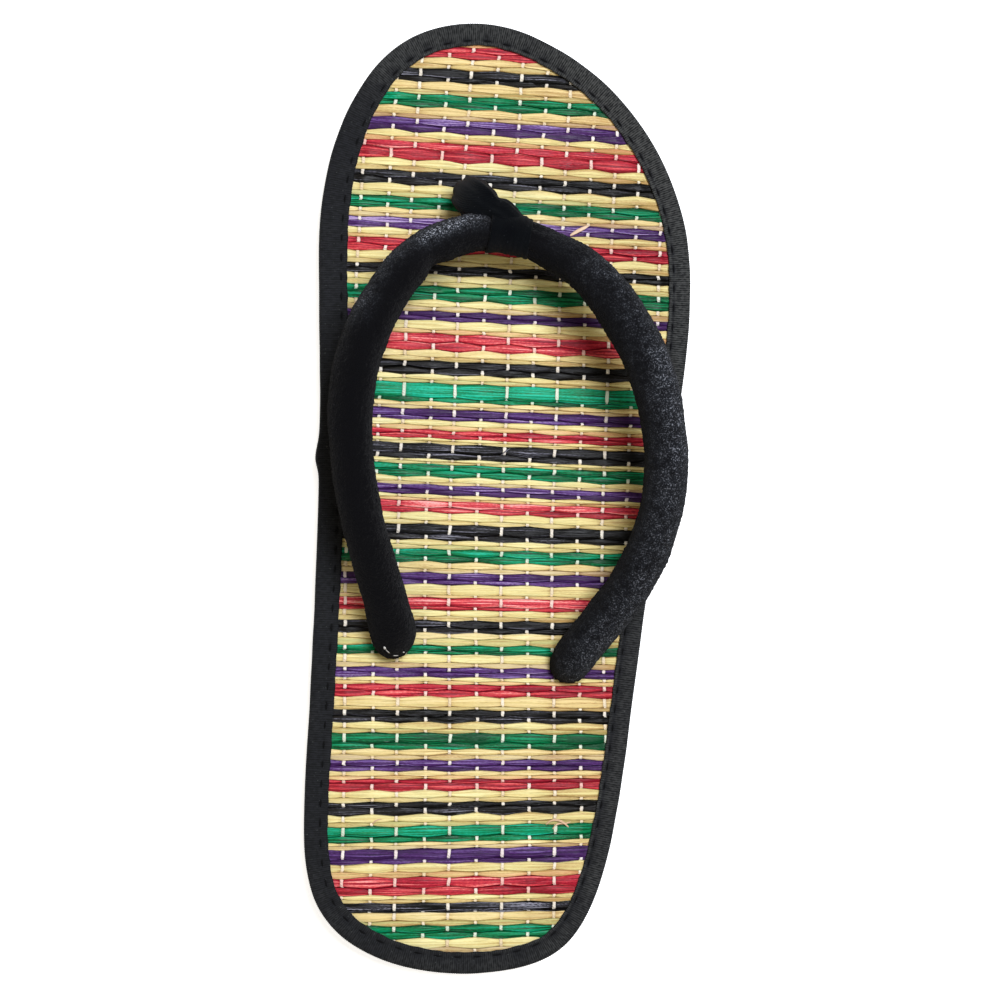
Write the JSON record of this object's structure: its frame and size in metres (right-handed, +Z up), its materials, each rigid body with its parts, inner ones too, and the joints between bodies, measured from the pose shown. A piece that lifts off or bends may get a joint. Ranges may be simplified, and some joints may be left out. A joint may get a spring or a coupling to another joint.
{
  "type": "straw flip-flop",
  "caption": "Right-foot flip-flop: a woven straw mat bound with black tape on a flat foam sole, a padded velvet strap and a twill toe post.",
  "frame": {"origin": "on the ground, under the middle of the sole's length and width", "axes": "+Y towards the toe, +Z up, -X towards the big toe"},
  "size_m": [0.097, 0.245, 0.0464],
  "materials": {
    "eva_foam": "matt closed-cell foam",
    "insole_foam": "matt fibre and foam board",
    "woven_straw": "glossy flat straw in natural, red, black, green and purple, held by cotton warps",
    "grosgrain_tape": "ribbed matt tape",
    "black_velvet": "short crushed velvet pile",
    "black_twill": "plain matt twill"
  },
  "bodies": {
    "root": {"outsole": "eva_foam", "insole_board": "insole_foam", "straw_mat": "woven_straw", "binding": "grosgrain_tape", "strap": "black_velvet", "toe_post": "black_twill"}
  },
  "joints": []
}
